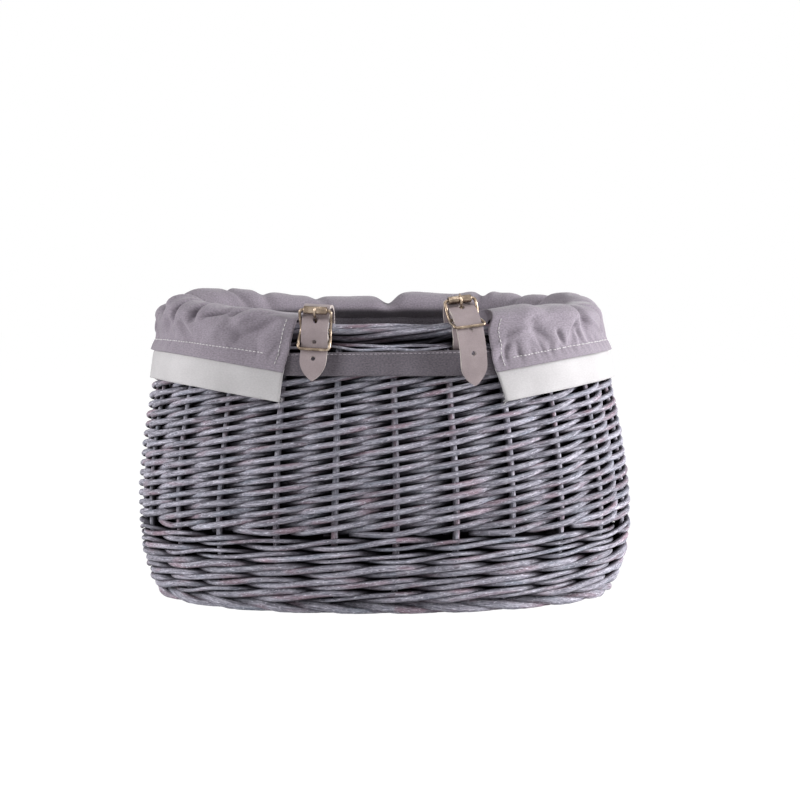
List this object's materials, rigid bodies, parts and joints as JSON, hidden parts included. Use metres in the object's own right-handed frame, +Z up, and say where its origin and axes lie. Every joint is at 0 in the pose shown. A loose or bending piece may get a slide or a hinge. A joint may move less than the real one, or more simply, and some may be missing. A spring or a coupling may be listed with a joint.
{
  "type": "wicker bicycle basket",
  "caption": "Oval woven willow bicycle basket with a cotton liner turned over the rim as a padded collar, and leather straps with roller buckles that hang it from a handlebar.",
  "frame": {"origin": "on the ground under the middle of the oval", "axes": "+X along the basket's length, to the right as seen from the strap side; +Y away from the strap side; +Z up"},
  "size_m": [0.4, 0.3, 0.2415],
  "materials": {
    "willow": "grey-washed peeled willow, matt",
    "cotton": "grey-mauve cotton twill",
    "white_cotton": "white cotton tape",
    "leather": "taupe leather with light cut edges",
    "brass": "aged brass wire"
  },
  "bodies": {
    "basket": {"stake_01": "willow", "stake_02": "willow", "stake_03": "willow", "stake_04": "willow", "stake_05": "willow", "stake_06": "willow", "stake_07": "willow", "stake_08": "willow", "stake_09": "willow", "stake_10": "willow", "stake_11": "willow", "stake_12": "willow", "stake_13": "willow", "stake_14": "willow", "stake_15": "willow", "stake_16": "willow", "stake_17": "willow", "stake_18": "willow", "stake_19": "willow", "stake_20": "willow", "stake_21": "willow", "stake_22": "willow", "stake_23": "willow", "stake_24": "willow", "side_weave_1": "willow", "side_weave_2": "willow", "side_weave_3": "willow", "side_weave_4": "willow", "wale_1_rod_a": "willow", "wale_1_rod_b": "willow", "wale_1_rod_c": "willow", "wale_2_rod_a": "willow", "wale_2_rod_b": "willow", "wale_2_rod_c": "willow", "wale_3_rod_a": "willow", "wale_3_rod_b": "willow", "wale_3_rod_c": "willow", "wale_4_rod_a": "willow", "wale_4_rod_b": "willow", "wale_4_rod_c": "willow", "rim_border": "willow", "foot_border": "willow", "base_mat": "willow", "liner_base": "cotton", "liner_side": "cotton", "liner_collar_right": "cotton", "liner_collar_back_right": "cotton", "liner_collar_back_left": "cotton", "liner_collar_left": "cotton", "collar_trim": "white_cotton", "gap_band": "cotton", "strap_left": "leather", "strap_right": "leather", "buckle_frame_left": "brass", "buckle_frame_right": "brass"},
    "roller_left": {"buckle_roller_left": "brass"},
    "roller_right": {"buckle_roller_right": "brass"},
    "prong_left": {"buckle_prong_left": "brass"},
    "prong_right": {"buckle_prong_right": "brass"}
  },
  "joints": [
    {"name": "roller_left_spin", "type": "hinge", "parent": "basket", "child": "roller_left", "pos_m": [-0.05856, -0.13348, 0.22848], "axis": [0.9801, -0.1914, -0.0523], "continuous": true},
    {"name": "roller_right_spin", "type": "hinge", "parent": "basket", "child": "roller_right", "pos_m": [0.0497, -0.12028, 0.23613], "axis": [0.9772, 0.1737, 0.1219], "continuous": true},
    {"name": "prong_left_lift", "type": "hinge", "parent": "basket", "child": "prong_left", "pos_m": [-0.05817, -0.12754, 0.214], "axis": [0.9801, -0.1914, -0.0523], "range_deg": [0, 4]},
    {"name": "prong_right_lift", "type": "hinge", "parent": "basket", "child": "prong_right", "pos_m": [0.05252, -0.12621, 0.22192], "axis": [0.9772, 0.1737, 0.1219], "range_deg": [0, 4]}
  ]
}
